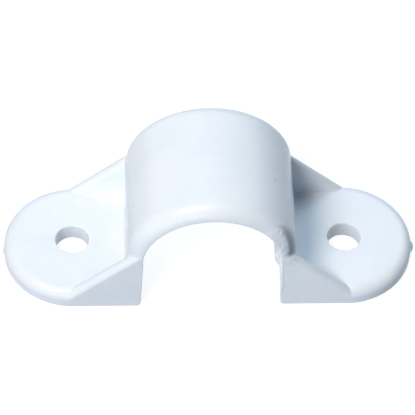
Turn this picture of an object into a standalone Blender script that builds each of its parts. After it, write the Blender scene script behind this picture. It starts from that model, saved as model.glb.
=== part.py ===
"""Conduit clip: a one-piece moulded half saddle that holds a round conduit down on a flat surface.

An inverted U arches over the conduit. Its two legs stand on flat pads with half-round ends and one screw
hole each. Four ribs with rounded tops brace the legs to the pads, flush with the front and the back, and
the rolled rims of the arch die into them. The frame is metres, X from pad to pad, Y along the conduit and
+Z up, with the origin on the base plane, midway between the screw holes.
"""

import math

import bmesh
import bpy

# Arch and legs
BORE_RADIUS = 0.0100        # inside radius, for a 20 mm conduit
SPRING_HEIGHT = 0.0100      # height of the arch's centre line above the base
WALL = 0.0025               # wall of the arch and the legs
DEPTH = 0.0200              # front to back, along the conduit
RIM_LAND = 0.0001           # flat ring left between the bore and the rolled rim
LEG_DRAFT = 0.0002          # how far each leg's inner face leans out by the time it reaches the base
FOOT_ROUND = 0.0006         # rounding from the leg's inner face to the base

# Pads
HOLE_SPACING = 0.0400       # screw hole to screw hole
SCREW_HOLE = 0.0049         # diameter of each screw hole
PAD_THICKNESS = 0.0030
PAD_ROLL = 0.0017           # radius of the rolled upper edge

# Ribs and the pockets between them
RIB_THICKNESS = 0.0017      # the top is rounded over the whole thickness
RIB_LIFT = 0.0002           # crest of the rib above the springing line, at the leg's outer face
RIB_RUN_OUT = 0.0010        # how far the rib runs past the screw hole's centre line, to fade into the pad
POCKET_FILLET = 0.0004      # rounding in the corners of each pocket

# Nibs low on the inner faces of the legs
NIB_PROUD = 0.0004
NIB_LENGTH = 0.0046         # length of the full height, along the conduit
NIB_RAMP = 0.0011           # length of the slope at each end
NIB_HEIGHT = 0.0032

# Gate marks left on the ends of the pads
GATE_HEIGHT = 0.0008
GATE_ROOT = 0.0002          # how far in from the pad's end the mark's sloping sides start
RIGHT_GATE_PROUD = 0.0004
RIGHT_GATE_WIDTH = 0.0027
RIGHT_GATE_TIP = 0.0007     # width where it was broken off
LEFT_GATE_PROUD = 0.00015
LEFT_GATE_WIDTH = 0.0020
LEFT_GATE_TIP = 0.0005

# Fineness of the round stretches, and how they are shaded
ARCH_STEPS = 48
PAD_STEPS = 32
HOLE_STEPS = 40
ROLL_STEPS = 8
CROWN_STEPS = 8
FILLET_STEPS = 4
ROUND_PROFILE = 0.5         # bevel profile that gives a circular arc
SHARP_ANGLE = 30            # degrees between faces, above which an edge is shaded sharp
SAME_PLACE = 1e-6           # metres within which two positions count as one

# Worked out from the sizes above
HALF_DEPTH = DEPTH / 2
OUTER_RADIUS = BORE_RADIUS + WALL
RIM_ROLL = WALL - RIM_LAND
PAD_CENTRE = HOLE_SPACING / 2
PAD_END = PAD_CENTRE + HALF_DEPTH
RIB_INNER_FACE = HALF_DEPTH - RIB_THICKNESS
RIB_FOOT = SPRING_HEIGHT + RIB_LIFT - PAD_THICKNESS
RIB_SLOPE = RIB_FOOT / (PAD_CENTRE - OUTER_RADIUS)
CROWN_RADIUS = RIB_THICKNESS / 2
CROWN_DROP = CROWN_RADIUS * math.hypot(1, RIB_SLOPE)
PAD_ROOT = BORE_RADIUS + WALL / 2   # the pads start halfway into the wall of the leg
RIB_ROOT = BORE_RADIUS - WALL / 2   # the ribs start inside the bore, which then trims them
OVERLAP = WALL / 4          # how deep a part of the body reaches into its neighbour
REACH = DEPTH               # how far a cutter runs past what it cuts

PLASTIC_COLOUR = (0.80, 0.86, 0.92, 1.0)
PLASTIC_ROUGHNESS = 0.35


def clear_scene():
    for item in list(bpy.data.objects):
        bpy.data.objects.remove(item, do_unlink=True)


def plastic_material():
    """White moulded plastic with a cool cast and a low sheen."""
    material = bpy.data.materials.new("white_moulded_plastic")
    material.use_nodes = True
    shader = material.node_tree.nodes["Principled BSDF"]
    shader.inputs["Base Color"].default_value = PLASTIC_COLOUR
    shader.inputs["Roughness"].default_value = PLASTIC_ROUGHNESS
    shader.inputs["Metallic"].default_value = 0.0
    return material


def arc(radius, start, end, steps):
    """Points of an arc about the origin, between two angles in degrees."""
    points = []
    for step in range(steps + 1):
        angle = math.radians(start + (end - start) * step / steps)
        points.append((radius * math.cos(angle), radius * math.sin(angle)))
    return points


def mesh_object(name, bm):
    bmesh.ops.recalc_face_normals(bm, faces=bm.faces)
    mesh = bpy.data.meshes.new(name)
    bm.to_mesh(mesh)
    bm.free()
    item = bpy.data.objects.new(name, mesh)
    bpy.context.collection.objects.link(item)
    return item


def loft(name, rings):
    """A closed body through rings with as many points each, with a flat cap on the first and the last."""
    bm = bmesh.new()
    loops = [[bm.verts.new(point) for point in ring] for ring in rings]
    for lower, upper in zip(loops, loops[1:]):
        for index in range(len(lower)):
            following = (index + 1) % len(lower)
            bm.faces.new((lower[index], lower[following], upper[following], upper[index]))
    bm.faces.new(loops[0])
    bm.faces.new(loops[-1])
    return mesh_object(name, bm)


def extrude_along_y(name, outline, half_length):
    """A prism whose section is an outline of (x, z) points, reaching half_length to the front and back."""
    rings = []
    for y in (-half_length, half_length):
        rings.append([(x, y, z) for x, z in outline])
    return loft(name, rings)


def roll(radius, steps):
    """The quarter round of a rolled edge, as (inset from the side, distance from the end) pairs."""
    pairs = []
    for step in range(steps + 1):
        angle = math.radians(90 * step / steps)
        pairs.append((radius * (1 - math.cos(angle)), radius * (1 - math.sin(angle))))
    return pairs


def arch_ring(y, radius):
    outline = [(radius, 0.0)]
    outline += [(x, SPRING_HEIGHT + z) for x, z in arc(radius, 0, 180, ARCH_STEPS)]
    outline.append((-radius, 0.0))
    return [(x, y, z) for x, z in outline]


def arch_body():
    """The arch and both legs before the bore is cut, with both rims rolled over the wall's thickness."""
    rings = []
    for inset, distance in reversed(roll(RIM_ROLL, ROLL_STEPS)):
        rings.append(arch_ring(distance - HALF_DEPTH, OUTER_RADIUS - inset))
    for inset, distance in roll(RIM_ROLL, ROLL_STEPS):
        rings.append(arch_ring(HALF_DEPTH - distance, OUTER_RADIUS - inset))
    return loft("arch_body", rings)


def pad_ring(side, radius, z):
    outline = [(PAD_ROOT, -radius)]
    outline += [(PAD_CENTRE + x, y) for x, y in arc(radius, -90, 90, PAD_STEPS)]
    outline.append((PAD_ROOT, radius))
    return [(side * x, y, z) for x, y in outline]


def pad_body(side):
    """A flat pad with a half-round end and a rolled upper edge, from inside the leg outwards."""
    rings = [pad_ring(side, HALF_DEPTH, 0.0)]
    for inset, distance in roll(PAD_ROLL, ROLL_STEPS):
        rings.append(pad_ring(side, HALF_DEPTH - inset, PAD_THICKNESS - distance))
    return loft("pad_body", rings)


def crest_height(x):
    """Height of a rib's crest. It falls from the springing line to the pad at the screw hole's centre."""
    return PAD_THICKNESS + RIB_SLOPE * (PAD_CENTRE - x)


def pad_edge(x):
    """How far the pad's outline is from the middle line, to the front or the back."""
    past_centre = max(x - PAD_CENTRE, 0.0)
    return math.sqrt(HALF_DEPTH ** 2 - past_centre ** 2)


def rib_body(side, end):
    """A rib in the front (end -1) or at the back (end 1). Its rounded top slopes down into the pad's roll."""
    middle = HALF_DEPTH - CROWN_RADIUS
    rings = []
    for x in (RIB_ROOT, PAD_CENTRE, PAD_CENTRE + RIB_RUN_OUT):
        base = crest_height(x) - CROWN_DROP
        ring = [(side * x, end * pad_edge(x), 0.0)]
        for across, up in arc(1.0, 0, 180, CROWN_STEPS):
            y = end * min(middle + CROWN_RADIUS * across, pad_edge(x))
            ring.append((side * x, y, base + CROWN_DROP * up))
        ring.append((side * x, end * RIB_INNER_FACE, 0.0))
        rings.append(ring)
    return loft("rib_body", rings)


def pocket_lining(side):
    """The rounded corners of the pocket between two ribs, on a thin backing inside the walls they join."""
    below_crest = CROWN_DROP + POCKET_FILLET
    floor = PAD_THICKNESS - OVERLAP
    inner = OUTER_RADIUS - OVERLAP
    outer = PAD_CENTRE + (OVERLAP - below_crest) / RIB_SLOPE
    top = crest_height(inner) - below_crest
    outline = [(side * inner, floor), (side * outer, floor), (side * inner, top)]
    lining = extrude_along_y("pocket_lining", outline, RIB_INNER_FACE + CROWN_RADIUS)
    combine(lining, "DIFFERENCE", [pocket_cutter(side)])
    return lining


def pocket_cutter(side):
    """The free space of a pocket, its corners at the leg, the ribs and the pad rounded."""
    outer = OUTER_RADIUS + REACH
    rings = []
    for z in (PAD_THICKNESS, PAD_THICKNESS + REACH):
        corners = [(OUTER_RADIUS, -RIB_INNER_FACE), (outer, -RIB_INNER_FACE)]
        corners += [(outer, RIB_INNER_FACE), (OUTER_RADIUS, RIB_INNER_FACE)]
        rings.append([(side * x, y, z) for x, y in corners])
    cutter = loft("pocket_cutter", rings)
    bm = bmesh.new()
    bm.from_mesh(cutter.data)
    rounded = [edge for edge in bm.edges if borders_wall(edge)]
    bmesh.ops.bevel(
        bm,
        geom=rounded,
        offset=POCKET_FILLET,
        segments=FILLET_STEPS,
        profile=ROUND_PROFILE,
        affect="EDGES",
    )
    bmesh.ops.recalc_face_normals(bm, faces=bm.faces)
    bm.to_mesh(cutter.data)
    bm.free()
    return cutter


def borders_wall(edge):
    """True for an edge on the pocket's floor or against the leg, but not at the cutter's open ends."""
    centre = (edge.verts[0].co + edge.verts[1].co) / 2
    out = abs(centre.x) - OUTER_RADIUS
    up = centre.z - PAD_THICKNESS
    at_corner = min(out, up) < SAME_PLACE
    at_open_end = max(out, up) > REACH - SAME_PLACE
    return at_corner and not at_open_end


def bore_cutter():
    """The conduit's channel: a half-round roof, legs that lean out slightly and rounded lower corners."""
    base_half = BORE_RADIUS + LEG_DRAFT
    corner = [(base_half + FOOT_ROUND, -REACH)]
    for x, z in arc(FOOT_ROUND, 270, 180, FILLET_STEPS):
        corner.append((base_half + FOOT_ROUND + x, FOOT_ROUND + z))
    roof = [(x, SPRING_HEIGHT + z) for x, z in arc(BORE_RADIUS, 0, 180, ARCH_STEPS)]
    outline = corner + roof + [(-x, z) for x, z in reversed(corner)]
    return extrude_along_y("bore_cutter", outline, HALF_DEPTH + REACH)


def hole_cutter(side):
    rings = []
    for z in (-REACH, PAD_THICKNESS + REACH):
        ring = arc(SCREW_HOLE / 2, 0, 360 - 360 / HOLE_STEPS, HOLE_STEPS - 1)
        rings.append([(side * PAD_CENTRE + x, y, z) for x, y in ring])
    return loft("hole_cutter", rings)


def nib_body(side):
    """A low nib that grips the conduit's sides, full at its foot and running out up the leg."""
    half = NIB_LENGTH / 2
    rings = []
    for z, proud in ((FOOT_ROUND, NIB_PROUD), (NIB_HEIGHT / 2, NIB_PROUD), (NIB_HEIGHT, 0.0)):
        face = BORE_RADIUS + LEG_DRAFT * (1 - z / SPRING_HEIGHT)
        root = face + OVERLAP
        ring = [(root, -half - NIB_RAMP), (face, -half - NIB_RAMP), (face - proud, -half)]
        ring += [(face - proud, half), (face, half + NIB_RAMP), (root, half + NIB_RAMP)]
        rings.append([(side * x, y, z) for x, y in ring])
    return loft("nib_body", rings)


def gate_mark(side, proud, width, tip):
    """The stub left where the runner was broken off the end of a pad, low and peaked."""
    inner = PAD_END - OVERLAP
    root = PAD_END - GATE_ROOT
    outline = [(inner, -width / 2), (root, -width / 2), (PAD_END + proud, -tip / 2)]
    outline += [(PAD_END + proud, tip / 2), (root, width / 2), (inner, width / 2)]
    rings = []
    for z in (0.0, GATE_HEIGHT):
        rings.append([(side * x, y, z) for x, y in outline])
    return loft("gate_mark", rings)


def combine(body, operation, others):
    """Joins or cuts a body with several others in one step. The others stay as hidden guides."""
    group = bpy.data.collections.new(others[0].name)
    bpy.context.scene.collection.children.link(group)
    for other in others:
        group.objects.link(other)
        other.hide_render = True
        other.display_type = "WIRE"
    modifier = body.modifiers.new(group.name, "BOOLEAN")
    modifier.operation = operation
    modifier.solver = "EXACT"
    modifier.operand_type = "COLLECTION"
    modifier.collection = group


def conduit_clip():
    """The whole moulding, joined into one body."""
    clip = arch_body()
    clip.name = "conduit_clip"
    clip.data.name = "conduit_clip"
    added = [gate_mark(1, RIGHT_GATE_PROUD, RIGHT_GATE_WIDTH, RIGHT_GATE_TIP)]
    added.append(gate_mark(-1, LEFT_GATE_PROUD, LEFT_GATE_WIDTH, LEFT_GATE_TIP))
    for side in (-1, 1):
        added.append(pad_body(side))
        added.append(rib_body(side, -1))
        added.append(rib_body(side, 1))
        added.append(pocket_lining(side))
    combine(clip, "UNION", added)
    combine(clip, "DIFFERENCE", [bore_cutter(), hole_cutter(-1), hole_cutter(1)])
    combine(clip, "UNION", [nib_body(-1), nib_body(1)])
    clip.data.materials.append(plastic_material())
    clip.data.shade_smooth()
    clip.data.set_sharp_from_angle(angle=math.radians(SHARP_ANGLE))
    return clip


clear_scene()
conduit_clip()
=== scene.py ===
"""The looks of the conduit clip: a fine mesh of the moulding, its plastic, the light and the camera.

The moulding is written as a distance field in millimetres, negative inside and positive outside, with its
fillets and rounded edges in the field. A net of quads is laid over its surface, thinned, and drawn onto it.
"""

import math

import bpy
import numpy as np
from mathutils import Matrix, Vector

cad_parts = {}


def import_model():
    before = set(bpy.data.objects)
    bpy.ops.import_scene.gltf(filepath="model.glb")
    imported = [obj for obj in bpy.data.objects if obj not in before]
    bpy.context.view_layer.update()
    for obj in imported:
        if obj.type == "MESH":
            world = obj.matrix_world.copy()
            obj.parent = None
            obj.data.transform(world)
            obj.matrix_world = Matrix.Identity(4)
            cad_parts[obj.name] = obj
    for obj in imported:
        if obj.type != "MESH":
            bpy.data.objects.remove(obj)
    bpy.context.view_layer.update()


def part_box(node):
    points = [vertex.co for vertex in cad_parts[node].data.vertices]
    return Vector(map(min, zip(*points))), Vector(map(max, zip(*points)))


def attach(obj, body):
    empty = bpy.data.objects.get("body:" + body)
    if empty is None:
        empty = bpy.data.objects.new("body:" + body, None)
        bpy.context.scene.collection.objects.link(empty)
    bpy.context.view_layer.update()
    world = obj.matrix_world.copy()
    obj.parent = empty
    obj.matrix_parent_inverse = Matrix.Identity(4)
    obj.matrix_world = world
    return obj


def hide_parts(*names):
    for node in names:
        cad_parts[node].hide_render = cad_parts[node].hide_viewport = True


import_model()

MM = 0.001
NODE = "conduit_clip"

# Main sizes in millimetres, as in the solid that the frame holds
NODE_LOW, NODE_HIGH = [np.array(corner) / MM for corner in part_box(NODE)]
HALF_DEPTH = NODE_HIGH[1]
BORE = 10.0
WALL = 2.5
SPRING = NODE_HIGH[2] - BORE - WALL
HOLE_CENTRE = 20.0
HOLE_RADIUS = 2.45
PAD_TOP = 3.0
PAD_ROLL = 1.7
RIM_ROLL = 2.4
RIB_THICKNESS = 1.7
RIB_LIFT = 0.2
LEG_DRAFT = 0.2
FOOT_ROUND = 0.6

# Where the moulding departs a little from the solid, in millimetres: the legs' bow from front to back, how
# far the arch's flanks stand in up to the springing line, and the height where that has eased to nothing
LEG_BOW = 0.25
FLANK_IN = 0.33
FLANK_TOP = 17.0

# Nibs low on the legs' inner faces: how far they stand in, and the slopes at their ends and their top
NIB_PROUD = 0.4
NIB_HALF_LENGTH = 2.3
NIB_END_SLOPE = 0.56
NIB_FULL_HEIGHT = 1.6
NIB_TOP_SLOPE = 0.39

# Thin flash along the front inner edge of each leg
FLASH_PROUD = 0.15
FLASH_WIDTH = 0.25
FLASH_LOW = 0.8
FLASH_HIGH = 10.5
FLASH_FADE = 0.8

# Gate marks on the ends of the pads: their height, how far in from the pad's end their sloping sides start,
# how much further in they run, their widths there and at the tip, and the rounding of their edges
GATE_HEIGHT = 0.8
GATE_ROOT = 0.2
GATE_DEPTH = 1.0
RIGHT_GATE_WIDTH = 2.7
RIGHT_GATE_TIP = 0.7
LEFT_GATE_WIDTH = 2.0
LEFT_GATE_TIP = 0.5
GATE_EDGE = 0.08

# A shallow groove in the right end of the front rim: degrees up from the level, where it lies along Y there,
# the degrees over which it fades at its ends, and in millimetres how deep it is and half its width
GROOVE_PATH = ((6, 15, 22, 28, 34, 38, 43), (-9.37, -9.18, -9.05, -8.89, -8.75, -8.84, -9.28))
GROOVE_LOW_FADE = 2
GROOVE_HIGH_FADE = 8
GROOVE_DEPTH = 0.07
GROOVE_HALF_WIDTH = 0.6

# Small roundings, in millimetres. The right leg's front inner edge is rounded more
EDGE = 0.14
LEG_EDGE = 0.32
LEG_EDGE_TOP = 11.5
EDGE_FADE = 1.5
HOLE_EDGE = 0.18
POCKET_FILLET = 0.4
RIB_FOOT_FILLET = 0.06
RIM_FILLET = 0.12

# Worked out from the sizes above
OUTER = BORE + WALL
RIB_SLOPE = (SPRING + RIB_LIFT - PAD_TOP) / (HOLE_CENTRE - OUTER)
CROWN = RIB_THICKNESS / 2
RIB_MIDDLE = HALF_DEPTH - CROWN
RIB_ROOT = BORE - WALL / 2

# The mesh
CELL = 0.1   # millimetres between the grid's points
MARGIN_CELLS = 2                    # spare cells round the box
SLAB = 16                           # layers of the grid that are worked out at a time
MOST_TRIANGLES = 190000
PROBE = 0.01                        # millimetres to each side over which a slope is measured
LEAST_SLOPE = 0.5                   # a gentler slope of the field counts as this, to keep moves short
AXIS_STEPS = np.eye(3, dtype=int)   # one cell along X, Y and Z


def round_union(first, second, radius):
    """Joins two fields, with a fillet of that radius where they meet at a hollow corner."""
    corner = np.hypot(np.maximum(radius - first, 0), np.maximum(radius - second, 0))
    return np.maximum(np.minimum(first, second), radius) - corner


def round_cut(field, cutter, radius):
    """Takes a cutter away from a field and rounds the edges that this makes."""
    return -round_union(-field, cutter, radius)


def rolled(side, end, radius):
    """The corner between a side and an end, rolled over with that radius."""
    corner = np.hypot(np.maximum(side + radius, 0), np.maximum(end + radius, 0))
    return np.minimum(np.maximum(side, end), -radius) + corner


def arch_field(x, y, z):
    """The arch's outside. Its flanks stand in a little from the circle that its top follows."""
    low = np.clip((FLANK_TOP - z) / (FLANK_TOP - SPRING), 0, 1)
    inset = FLANK_IN * low * low * (3 - 2 * low)
    outside = np.hypot(np.abs(x) + inset, np.maximum(z - SPRING, 0)) - OUTER
    return rolled(outside, np.abs(y) - HALF_DEPTH, RIM_ROLL)


def outline_field(x, y):
    """The clip's outline from above: flush sides and half-round ends."""
    return np.hypot(np.maximum(np.abs(x) - HOLE_CENTRE, 0), y) - HALF_DEPTH


def pad_field(x, y, z):
    """Both pads, as one slab with a rolled upper edge."""
    return rolled(outline_field(x, y), z - PAD_TOP, PAD_ROLL)


def rib_field(x, y, z):
    """The four ribs, with round tops that slope down from the arch."""
    crest = PAD_TOP + RIB_SLOPE * (HOLE_CENTRE - np.abs(x))
    below_crest = (z - crest) / math.hypot(1, RIB_SLOPE)
    across = np.abs(y) - RIB_MIDDLE
    rib = np.hypot(across, np.maximum(below_crest + CROWN, 0)) - CROWN
    rib = np.maximum(rib, RIB_ROOT - np.abs(x))
    return np.maximum(rib, outline_field(x, y))


def nib_reach(y, z):
    """Distance from the middle to a nib's face. Past its ends and its top the face slopes away."""
    past_end = np.maximum(np.abs(y) - NIB_HALF_LENGTH, 0)
    past_top = np.maximum(z - NIB_FULL_HEIGHT, 0)
    return BORE + LEG_DRAFT - NIB_PROUD + NIB_END_SLOPE * past_end + NIB_TOP_SLOPE * past_top


def flash(y, z):
    """How far the flash stands in at the front inner edge of a leg."""
    across = np.clip((y + HALF_DEPTH) / FLASH_WIDTH, 0, 1)
    along = np.clip(np.minimum(z - FLASH_LOW, FLASH_HIGH - z) / FLASH_FADE, 0, 1)
    return FLASH_PROUD * (1 - across) * along


def bore_field(x, y, z):
    """The conduit's channel. The legs lean out towards the base and are bowed from front to back."""
    low = np.clip(1 - z / SPRING, 0, 1)
    bow = LEG_BOW * (1 - (y / HALF_DEPTH) ** 2)
    reach = np.minimum(BORE + (LEG_DRAFT + bow) * low - flash(y, z), nib_reach(y, z))
    return np.hypot(x, np.maximum(z - SPRING, 0)) - reach


def gate_field(x, y, z, end, width, tip):
    """The stub left where the runner was broken off the end of a pad. It narrows towards its tip."""
    root = HOLE_CENTRE + HALF_DEPTH - GATE_ROOT
    run = end - root
    narrowing = (width - tip) / 2
    side = ((np.abs(y) - tip / 2) * run + (x - end) * narrowing) / math.hypot(run, narrowing)
    stub = rolled(np.maximum(side, root - GATE_DEPTH - x), x - end, GATE_EDGE)
    return rolled(stub, z - GATE_HEIGHT, GATE_EDGE)


def bore_edge(x, y, z):
    """Radius of the rounding along the channel's edges."""
    more = np.clip(np.minimum(LEG_EDGE_TOP - z, np.minimum(x, -y)) / EDGE_FADE, 0, 1)
    return EDGE + (LEG_EDGE - EDGE) * more


def groove(x, y, z):
    """How deep the groove in the right end of the rim is."""
    angle = np.degrees(np.arctan2(z - SPRING, x))
    middle = np.interp(angle, *GROOVE_PATH)
    across = np.clip(1 - ((y - middle) / GROOVE_HALF_WIDTH) ** 2, 0, 1) ** 2
    low_end, high_end = GROOVE_PATH[0][0], GROOVE_PATH[0][-1]
    from_ends = np.minimum((angle - low_end) / GROOVE_LOW_FADE, (high_end - angle) / GROOVE_HIGH_FADE)
    return GROOVE_DEPTH * across * np.clip(from_ends, 0, 1)


def hole_field(x, y):
    """Both screw holes."""
    return np.hypot(np.abs(x) - HOLE_CENTRE, y) - HOLE_RADIUS


def clip_field(x, y, z):
    """The whole moulding. Fillets are wide in the pockets and narrow at the rims."""
    inner = np.clip((RIB_MIDDLE - np.abs(y)) / CROWN, 0, 1)
    fillet = RIM_FILLET + (POCKET_FILLET - RIM_FILLET) * inner
    body = round_union(pad_field(x, y, z), rib_field(x, y, z), RIB_FOOT_FILLET)
    body = round_union(body, arch_field(x, y, z) + groove(x, y, z), fillet)
    body = np.maximum(body, np.abs(y) - HALF_DEPTH)
    right_gate = gate_field(x, y, z, NODE_HIGH[0], RIGHT_GATE_WIDTH, RIGHT_GATE_TIP)
    left_gate = gate_field(-x, y, z, -NODE_LOW[0], LEFT_GATE_WIDTH, LEFT_GATE_TIP)
    body = round_union(body, np.minimum(right_gate, left_gate), GATE_EDGE)
    below = round_union(bore_field(x, y, z), z, FOOT_ROUND)
    body = round_cut(body, below, bore_edge(x, y, z))
    return round_cut(body, hole_field(x, y), HOLE_EDGE)


def grid_axes(low, high, cell):
    """Grid positions along X, Y and Z that hold a box, with the box's middle halfway between two."""
    axes = []
    for start, stop in zip(low, high):
        count = 2 * (math.ceil((stop - start) / cell / 2) + MARGIN_CELLS)
        axes.append((start + stop) / 2 + cell * (np.arange(count) - (count - 1) / 2))
    return axes


def sampled(field, axes):
    """The field's values over the grid, worked out in slabs to save memory."""
    xs, ys, zs = [axis.astype(np.float32) for axis in axes]
    values = np.empty((len(xs), len(ys), len(zs)), np.float32)
    for start in range(0, len(xs), SLAB):
        x = xs[start:start + SLAB, None, None]
        values[start:start + SLAB] = field(x, ys[None, :, None], zs[None, None, :])
    return values


def cell_corner(values, cells, corner):
    """The value at one corner of each of the cells."""
    i, j, k = (cells + corner).T
    return values[i, j, k]


def net_points(values, cells, axes, cell):
    """One point for each cell that the surface passes through: the mean of where it crosses the edges."""
    total = np.zeros((len(cells), 3))
    hits = np.zeros((len(cells), 1))
    for axis in range(3):
        step = AXIS_STEPS[axis]
        first, second = [AXIS_STEPS[other] for other in range(3) if other != axis]
        for corner in (0 * first, first, second, first + second):
            start = cell_corner(values, cells, corner)
            stop = cell_corner(values, cells, corner + step)
            crossed = (start < 0) != (stop < 0)
            share = start / np.where(crossed, start - stop, 1)
            total += (corner + share[:, None] * step) * crossed[:, None]
            hits += crossed[:, None]
    origin = np.array([positions[0] for positions in axes])
    return origin + cell * (cells + total / hits)


def net_quads(inside, numbers):
    """One quad round each grid edge that the surface crosses, facing outwards."""
    quads = []
    for axis in range(3):
        first = np.delete(inside, -1, axis)
        second = np.delete(inside, 0, axis)
        edges = np.argwhere(first != second)
        u = AXIS_STEPS[(axis + 1) % 3]
        v = AXIS_STEPS[(axis + 2) % 3]
        quad = np.stack([cell_corner(numbers, edges, -offset) for offset in (u + v, v, 0 * u, u)], 1)
        inwards = ~cell_corner(first, edges, 0)
        quad[inwards] = quad[inwards][:, ::-1]
        quads.append(quad)
    return np.concatenate(quads)


def surface_net(field, low, high, cell):
    """Points and quads over the surface where the field is zero, inside a box."""
    axes = grid_axes(low, high, cell)
    values = sampled(field, axes)
    inside = values < 0
    shape = [length - 1 for length in values.shape]
    corners = np.zeros(shape, np.uint8)
    for corner in np.ndindex(2, 2, 2):
        corners += inside[tuple(slice(start, start + length) for start, length in zip(corner, shape))]
    crossed = (corners > 0) & (corners < 8)
    cells = np.argwhere(crossed)
    numbers = np.full(shape, -1, np.int32)
    numbers[crossed] = np.arange(len(cells))
    return net_points(values, cells, axes, cell), net_quads(inside, numbers)


def slope_of(field, points):
    """The field's value and gradient at points."""
    x, y, z = points.T
    gradient = np.stack([
        field(x + PROBE, y, z) - field(x - PROBE, y, z),
        field(x, y + PROBE, z) - field(x, y - PROBE, z),
        field(x, y, z + PROBE) - field(x, y, z - PROBE),
    ], 1) / (2 * PROBE)
    return field(x, y, z), gradient


def drawn_onto(field, points, rounds, most):
    """Points moved onto the surface, each by no more than a given length in each round."""
    for _ in range(rounds):
        value, gradient = slope_of(field, points)
        size = np.maximum((gradient ** 2).sum(1), LEAST_SLOPE ** 2)
        move = np.clip(value / size, -most, most)
        points = points - move[:, None] * gradient
    return points


def quad_mesh(name, points, quads):
    """A mesh from points and from quads that give their numbers."""
    mesh = bpy.data.meshes.new(name)
    mesh.vertices.add(len(points))
    mesh.vertices.foreach_set("co", points.astype(np.float32).ravel())
    mesh.loops.add(quads.size)
    mesh.loops.foreach_set("vertex_index", quads.astype(np.int32).ravel())
    mesh.polygons.add(len(quads))
    mesh.polygons.foreach_set("loop_start", np.arange(0, quads.size, 4, dtype=np.int32))
    mesh.update(calc_edges=True)
    return mesh


def thinned(mesh, triangles):
    """A copy of a quad mesh with about that many triangles, fewest where it is flat."""
    item = bpy.data.objects.new("thinning", mesh)
    bpy.context.collection.objects.link(item)
    modifier = item.modifiers.new("thin", "DECIMATE")
    modifier.ratio = min(1, triangles / (2 * len(mesh.polygons)))
    depsgraph = bpy.context.evaluated_depsgraph_get()
    result = bpy.data.meshes.new_from_object(item.evaluated_get(depsgraph))
    bpy.data.objects.remove(item)
    return result


def moulding():
    """The clip as one fine mesh, shaded by the slope of its field."""
    points, quads = surface_net(clip_field, NODE_LOW, NODE_HIGH, CELL)
    points = drawn_onto(clip_field, points, rounds=3, most=CELL / 2)
    mesh = thinned(quad_mesh("net", points, quads), MOST_TRIANGLES)
    points = np.empty(len(mesh.vertices) * 3, np.float32)
    mesh.vertices.foreach_get("co", points)
    points = drawn_onto(clip_field, points.reshape(-1, 3).astype(float), rounds=2, most=CELL / 4)
    points = np.clip(points, NODE_LOW, NODE_HIGH)
    normals = slope_of(clip_field, points)[1]
    normals /= np.linalg.norm(normals, axis=1)[:, None]
    mesh.vertices.foreach_set("co", (points * MM).astype(np.float32).ravel())
    mesh.update()
    mesh.shade_smooth()
    mesh.normals_split_custom_set_from_vertices(normals.astype(np.float32))
    mesh.name = "moulded_clip"
    item = bpy.data.objects.new("moulded_clip", mesh)
    bpy.context.collection.objects.link(item)
    return item


# Colours of the plastic, which drifts between two near tones, of its dirty specks, and of its other marks and
# painted shade
PALE_TONE = (0.82, 0.875, 0.93, 1)
COOL_TONE = (0.785, 0.85, 0.92, 1)
SPECK_TONE = (0.20, 0.16, 0.12, 1)
MARK_AND_SHADE_TONE = (0.26, 0.31, 0.36, 1)

# Noise: its roughness, its mean, and its detail where it is fine and where it is in plain lumps
NOISE_ROUGHNESS = 0.55
NOISE_MIDDLE = 0.5
FINE_DETAIL = 3.0
LUMP_DETAIL = 2.0

# Patterns in the plastic: their sizes in millimetres, the limits of the noise that drifts or speckles the
# tone, how strong the speckle is, and how high in millimetres the grain and the slow ripple stand
CLOUD_SIZE = 5.0
CLOUD_LIMITS = (0.3, 0.7)
GRAIN_SIZE = 0.32
GRAIN_LIMITS = (0.25, 0.75)
SPECKLE = 0.012
GRAIN_HEIGHT = 0.0010
RIM_GRAIN_HEIGHT = 0.0045
RIPPLE_SIZE = 2.6
RIPPLE_HEIGHT = 0.004

# The pitted patch at the right end of the front rim: both ends of its middle line, half its width, and the
# size and height of its lumps
PATCH_START = (9.0, -9.9, 16.3)
PATCH_END = (10.9, -9.9, 11.4)
PATCH_HALF_WIDTH = 2.2
PATCH_SIZE = 0.42
PATCH_HEIGHT = 0.22

# The rims and the front and back faces are rougher than the rest: the distances from the middle, in
# millimetres, that the change runs between, the roughness before and after it, and how much it drifts
SMOOTH_UP_TO = 7.4
ROUGH_FROM = 9.0
SMOOTH_FINISH = 0.245
ROUGH_FINISH = 0.262
FINISH_DRIFT = 0.02

# How much light the plastic's surface throws back
SHEEN_LEVEL = 0.3
PLASTIC_IOR = 1.49

# Specks of dirt and small pits that are in the photograph: place and radius in millimetres, and how dark
SPECKS = [
    ((9.02, -1.37, 18.65), 0.19, 0.75),
    ((9.48, -1.34, 18.15), 0.10, 0.30),
]
PITS = [
    ((2.03, -8.02, 22.29), 0.13, 0.30),
    ((-5.85, -4.68, 21.05), 0.10, 0.20),
    ((-3.65, -5.76, 21.96), 0.10, 0.22),
    ((-2.30, -7.27, 22.29), 0.10, 0.22),
    ((-5.10, -7.80, 21.40), 0.10, 0.22),
    ((-7.61, -7.87, 19.90), 0.11, 0.30),
    ((-7.34, -8.79, 19.72), 0.10, 0.25),
    ((-5.41, -9.52, 20.19), 0.13, 0.40),
    ((-1.52, 3.22, 22.41), 0.12, 0.22),
    ((-5.89, 3.63, 21.02), 0.10, 0.15),
    ((-27.41, 0.72, 3.00), 0.11, 0.22),
]

# Loose specks all over: the distance between them, their radius, the share that shows and how dark they are
LOOSE_SPACING = 2.6
LOOSE_RADIUS = 0.085
LOOSE_SHARE = 0.4
LOOSE_DARKNESS = 0.16
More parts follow.
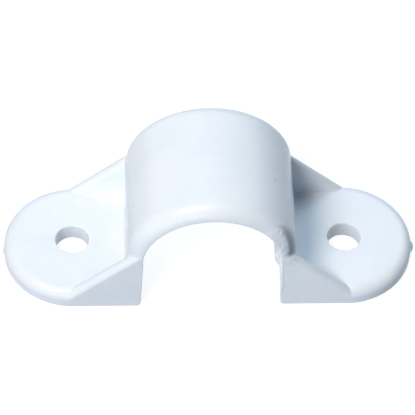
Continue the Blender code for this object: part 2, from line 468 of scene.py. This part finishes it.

# A long pit on the arch's left flank, a faint line on each pad, and painted shade down the front of the right
# leg, where a fine groove runs beside the flash: both ends and half the width in millimetres, and how dark
LINES = [
    ((-11.24, -2.92, 15.37), (-11.24, -3.38, 15.37), 0.12, 0.40),
    ((-24.85, 0.05, 3.0), (-22.65, 0.03, 3.0), 0.07, 0.10),
    ((19.39, 7.82, 3.0), (20.17, 5.94, 3.0), 0.06, 0.14),
    # Painted shade of the fine groove beside the right leg's flash, in four stretches
    ((10.15, -10.0, 11.2), (10.38, -10.0, 6.45), 0.07, 0.35),
    ((10.38, -10.0, 6.45), (10.61, -10.0, 4.97), 0.07, 0.30),
    ((10.61, -10.0, 4.97), (10.28, -10.0, 2.99), 0.07, 0.50),
    ((10.28, -10.0, 2.99), (10.21, -10.0, 1.48), 0.06, 0.30),
]

# A speck, a pit and a line are at their darkest over this share of their width
CORE_SHARE = 1 / 3

# Painted shade where the right end of the front rim turns away from the light, a dark crescent: points along
# it, half its width there, and how dark it is. It ends between two heights
CRESCENT = [
    ((8.66, -9.28, 18.03), 0.30, 0.14),
    ((9.57, -8.84, 17.42), 0.45, 0.28),
    ((10.03, -8.75, 16.83), 0.80, 0.52),
    ((10.34, -8.85, 16.24), 0.98, 0.72),
    ((10.66, -8.89, 15.57), 1.05, 0.85),
    ((11.00, -9.05, 14.36), 1.08, 0.92),
    ((11.21, -9.18, 13.09), 1.12, 0.94),
    ((11.30, -9.28, 11.81), 1.20, 1.00),
]
CRESCENT_FOOT = (11.0, 11.5)


def fill(tree, node, inputs):
    """Sets each input of a node to a value, or links it if it is another node's output."""
    for name, value in inputs.items():
        if isinstance(value, bpy.types.NodeSocket):
            tree.links.new(value, node.inputs[name])
        else:
            node.inputs[name].default_value = value


def added(tree, kind, inputs, **settings):
    """A new node with its settings and its inputs."""
    node = tree.nodes.new(kind)
    for name, value in settings.items():
        setattr(node, name, value)
    fill(tree, node, inputs)
    return node


def maths(tree, operation, first, second=0.0):
    """What an operation makes of one or two numbers."""
    return added(tree, "ShaderNodeMath", {0: first, 1: second}, operation=operation).outputs[0]


def vector_maths(tree, operation, first, second, output="Vector"):
    """What an operation makes of two vectors."""
    return added(tree, "ShaderNodeVectorMath", {0: first, 1: second}, operation=operation).outputs[output]


def scaled(tree, vector, factor):
    """A vector times a number."""
    return added(tree, "ShaderNodeVectorMath", {0: vector, "Scale": factor}, operation="SCALE").outputs[0]


def between(tree, share, start, end):
    """The number that lies that share of the way from one number to another."""
    return maths(tree, "ADD", maths(tree, "MULTIPLY", share, end - start), start)


def ramp(tree, value, low, high, start=0.0, end=1.0):
    """Goes from start to end as a value goes from low to high. It is eased at both ends and clamped."""
    inputs = {"Value": value, "From Min": low, "From Max": high, "To Min": start, "To Max": end}
    return added(tree, "ShaderNodeMapRange", inputs, interpolation_type="SMOOTHSTEP").outputs[0]


def noise(tree, place, size, detail):
    """Noise from 0 to 1 whose lumps have about that size in millimetres."""
    inputs = {"Vector": place, "Scale": 1 / size, "Detail": detail, "Roughness": NOISE_ROUGHNESS}
    return added(tree, "ShaderNodeTexNoise", inputs).outputs[0]


def blended(tree, factor, first, second):
    """A blend of two colours, which are the mix node's inputs 6 and 7 and its output 2."""
    return added(tree, "ShaderNodeMix", {0: factor, 6: first, 7: second}, data_type="RGBA").outputs[2]


def largest(tree, values):
    """The largest of several numbers, or 0 where all are less."""
    result = 0.0
    for value in values:
        result = maths(tree, "MAXIMUM", value, result)
    return result


def near_point(tree, place, point, radius):
    """1 close to a point and 0 from a radius away."""
    return ramp(tree, vector_maths(tree, "DISTANCE", place, point, "Value"), radius, radius * CORE_SHARE)


def from_line(tree, place, start, end):
    """Distance from the line between two points, and the share of the line before its nearest place."""
    along = Vector(end) - Vector(start)
    offset = vector_maths(tree, "SUBTRACT", place, start)
    share = vector_maths(tree, "DOT_PRODUCT", offset, along / along.length_squared, "Value")
    share = added(tree, "ShaderNodeClamp", {"Value": share}).outputs[0]
    return vector_maths(tree, "DISTANCE", offset, scaled(tree, along, share), "Value"), share


def near_line(tree, place, start, end, half_width):
    """1 close to the line between two points and 0 from half its width away."""
    return ramp(tree, from_line(tree, place, start, end)[0], half_width, half_width * CORE_SHARE)


def spots(tree, place, listed):
    """How dark the listed specks or pits make each point."""
    return largest(tree, [
        maths(tree, "MULTIPLY", near_point(tree, place, point, radius), darkness)
        for point, radius, darkness in listed
    ])


def lines(tree, place):
    """How dark the listed lines make each point: real marks, and painted shade down the right leg."""
    return largest(tree, [
        maths(tree, "MULTIPLY", near_line(tree, place, start, end, half_width), darkness)
        for start, end, half_width, darkness in LINES
    ])


def loose_specks(tree, place):
    """How dark the faint specks at random places all over make each point."""
    cells = added(tree, "ShaderNodeTexVoronoi", {"Vector": place, "Scale": 1 / LOOSE_SPACING})
    near = ramp(tree, cells.outputs["Distance"], LOOSE_RADIUS / LOOSE_SPACING, 0)
    parts = added(tree, "ShaderNodeSeparateColor", {0: cells.outputs["Color"]})
    shows = maths(tree, "LESS_THAN", parts.outputs[0], LOOSE_SHARE)
    return maths(tree, "MULTIPLY", maths(tree, "MULTIPLY", near, shows), LOOSE_DARKNESS)


def crescent(tree, place):
    """How dark the painted shade of the crescent makes each point. It fades evenly from its middle line to
    its edges.
    """
    stretches = []
    for (start, start_width, start_dark), (end, end_width, end_dark) in zip(CRESCENT, CRESCENT[1:]):
        distance, share = from_line(tree, place, start, end)
        half_width = between(tree, share, start_width, end_width)
        near = ramp(tree, maths(tree, "DIVIDE", distance, half_width), 1, 0)
        stretches.append(maths(tree, "MULTIPLY", near, between(tree, share, start_dark, end_dark)))
    height = added(tree, "ShaderNodeSeparateXYZ", {0: place}).outputs["Z"]
    return maths(tree, "MULTIPLY", largest(tree, stretches), ramp(tree, height, *CRESCENT_FOOT))


def tone(tree, place, cloud, grain):
    """The plastic's colour, which drifts between two tones and has its marks and its painted shade on it."""
    clean = blended(tree, ramp(tree, cloud, *CLOUD_LIMITS), COOL_TONE, PALE_TONE)
    clean = scaled(tree, clean, ramp(tree, grain, *GRAIN_LIMITS, 1 - SPECKLE, 1 + SPECKLE))
    # The lines and the crescent also paint shade into the colour, at the right leg and the rim's right end
    marks_and_shade = [loose_specks(tree, place), lines(tree, place), spots(tree, place, PITS), crescent(tree, place)]
    marked_and_shaded = blended(tree, largest(tree, marks_and_shade), clean, MARK_AND_SHADE_TONE)
    return blended(tree, spots(tree, place, SPECKS), marked_and_shaded, SPECK_TONE)


def roughness(tree, rough_part, cloud):
    """The plastic's roughness, which drifts a little."""
    even = ramp(tree, rough_part, 0, 1, SMOOTH_FINISH, ROUGH_FINISH)
    drift = maths(tree, "MULTIPLY", maths(tree, "SUBTRACT", cloud, NOISE_MIDDLE), FINISH_DRIFT)
    return maths(tree, "ADD", even, drift)


def relief(tree, place, rough_part, grain):
    """How high the plastic stands, in millimetres: its grain, a slow ripple and the pitted patch."""
    grain_height = ramp(tree, rough_part, 0, 1, GRAIN_HEIGHT, RIM_GRAIN_HEIGHT)
    height = maths(tree, "MULTIPLY", grain, grain_height)
    ripple = maths(tree, "MULTIPLY", noise(tree, place, RIPPLE_SIZE, LUMP_DETAIL), RIPPLE_HEIGHT)
    height = maths(tree, "ADD", height, ripple)
    patch = near_line(tree, place, PATCH_START, PATCH_END, PATCH_HALF_WIDTH)
    lumps = maths(tree, "MULTIPLY", noise(tree, place, PATCH_SIZE, LUMP_DETAIL), PATCH_HEIGHT)
    return maths(tree, "ADD", height, maths(tree, "MULTIPLY", patch, lumps))


def plastic():
    """White moulded plastic with a cool cast: smooth on top, grained on the rims and faces, a few specks,
    painted shade.
    """
    material = bpy.data.materials.new("white moulded plastic")
    material.use_nodes = True
    tree = material.node_tree
    place = scaled(tree, added(tree, "ShaderNodeTexCoord", {}).outputs["Object"], 1 / MM)
    depth = added(tree, "ShaderNodeSeparateXYZ", {0: place}).outputs["Y"]
    rough_part = ramp(tree, maths(tree, "ABSOLUTE", depth), SMOOTH_UP_TO, ROUGH_FROM)
    cloud = noise(tree, place, CLOUD_SIZE, FINE_DETAIL)
    grain = noise(tree, place, GRAIN_SIZE, FINE_DETAIL)
    bump = {"Height": relief(tree, place, rough_part, grain), "Distance": MM}
    fill(tree, tree.nodes["Principled BSDF"], {
        "IOR": PLASTIC_IOR,
        "Specular IOR Level": SHEEN_LEVEL,
        "Base Color": tone(tree, place, cloud, grain),
        "Roughness": roughness(tree, rough_part, cloud),
        "Normal": added(tree, "ShaderNodeBump", bump).outputs[0],
    })
    return material


# Camera, from the outlines in the photograph. Its lens and sensor are in millimetres, its clips in metres
CAMERA_AT = Vector((-21.93, -266.79, 361.95)) * MM
CAMERA_FORWARD = Vector((0.0488, 0.6038, -0.7957))
CAMERA_RIGHT = Vector((0.9988, -0.0361, 0.0339))
LENS = 264.25
SENSOR_WIDTH = 36
CLIP_START = 0.01
CLIP_END = 10


def camera():
    data = bpy.data.cameras.new("camera")
    data.lens = LENS
    data.sensor_width = SENSOR_WIDTH
    data.clip_start = CLIP_START
    data.clip_end = CLIP_END
    item = bpy.data.objects.new("camera", data)
    back = -CAMERA_FORWARD.normalized()
    up = back.cross(CAMERA_RIGHT).normalized()
    right = up.cross(back)
    turn = Matrix((right, up, back)).transposed()
    item.matrix_world = Matrix.Translation(CAMERA_AT) @ turn.to_4x4()
    bpy.context.collection.objects.link(item)
    bpy.context.scene.camera = item


# The floor: half its size and how far below the clip it lies, in metres, the glow that makes it white to the
# camera, and its own tone
FLOOR_HALF = 0.6
FLOOR_DROP = 0.0001
FLOOR_GLOW = (0.88, 0.88, 0.88, 1)
FLOOR_GREY = (0.24, 0.27, 0.31, 1)


def seen(tree):
    """1 for rays from the camera, in reflections and through glass, and 0 for the light on the clip."""
    rays = added(tree, "ShaderNodeLightPath", {}).outputs
    return largest(tree, [rays["Is Camera Ray"], rays["Is Glossy Ray"], rays["Is Transmission Ray"]])


def floor_material():
    """White to the camera and in reflections, with the object's soft shadow. It throws back little light."""
    material = bpy.data.materials.new("floor")
    material.use_nodes = True
    tree = material.node_tree
    tree.nodes.clear()
    glow = added(tree, "ShaderNodeEmission", {"Color": FLOOR_GLOW}).outputs[0]
    matt = added(tree, "ShaderNodeBsdfDiffuse", {"Color": FLOOR_GREY}).outputs[0]
    white = added(tree, "ShaderNodeAddShader", {0: glow, 1: matt}).outputs[0]
    mix = added(tree, "ShaderNodeMixShader", {0: seen(tree), 1: matt, 2: white}).outputs[0]
    added(tree, "ShaderNodeOutputMaterial", {"Surface": mix})
    return material


def floor():
    data = bpy.data.meshes.new("floor")
    corners = [(x * FLOOR_HALF, y * FLOOR_HALF, 0) for x, y in ((-1, -1), (1, -1), (1, 1), (-1, 1))]
    data.from_pydata(corners, [], [(0, 1, 2, 3)])
    item = bpy.data.objects.new("floor", data)
    item.location.z = -FLOOR_DROP
    bpy.context.collection.objects.link(item)
    data.materials.append(floor_material())


# Lamps: direction from the clip in degrees (azimuth 0 is in front and -90 on the left), size in metres, and
# watts of red, green and blue
LAMP_DISTANCE = 0.5
LAMPS = [
    ("key", -38, 53, 0.20, (2.10, 1.90, 1.75)),
    ("front_low", -20, 8, 0.35, (0.69, 0.88, 1.06)),
    ("left_back_low", -145, 8, 0.35, (0.32, 0.39, 0.45)),
    ("right_back_low", 135, 8, 0.35, (0.13, 0.16, 0.18)),
    ("right_back", 135, 38, 0.35, (0.47, 0.58, 0.67)),
    ("right_high", 150, 72, 0.35, (0.10, 0.12, 0.14)),
    ("back", 180, 40, 0.35, (0.33, 0.40, 0.46)),
    ("left_high", -60, 72, 0.35, (0.09, 0.12, 0.14)),
]


def lamp(name, azimuth, elevation, size, watts):
    """A round lamp that faces the clip."""
    data = bpy.data.lights.new(name, "AREA")
    data.shape = "DISK"
    data.size = size
    data.energy = max(watts)
    data.color = [share / max(watts) for share in watts]
    item = bpy.data.objects.new(name, data)
    turn = math.radians(azimuth)
    lift = math.radians(elevation)
    towards = Vector((math.sin(turn) * math.cos(lift), -math.cos(turn) * math.cos(lift), math.sin(lift)))
    item.location = towards * LAMP_DISTANCE
    item.rotation_euler = towards.to_track_quat("Z", "Y").to_euler()
    bpy.context.collection.objects.link(item)


WHITE = (1, 1, 1, 1)


def world():
    """White behind the object, and no light from it."""
    item = bpy.data.worlds.new("world")
    item.use_nodes = True
    tree = item.node_tree
    fill(tree, tree.nodes["Background"], {"Color": WHITE, "Strength": seen(tree)})
    bpy.context.scene.world = item


clip = moulding()
clip.data.materials.clear()
clip.data.materials.append(plastic())
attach(clip, "root")
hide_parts(NODE)
camera()
floor()
for values in LAMPS:
    lamp(*values)
world()
bpy.context.scene.view_settings.view_transform = "Standard"
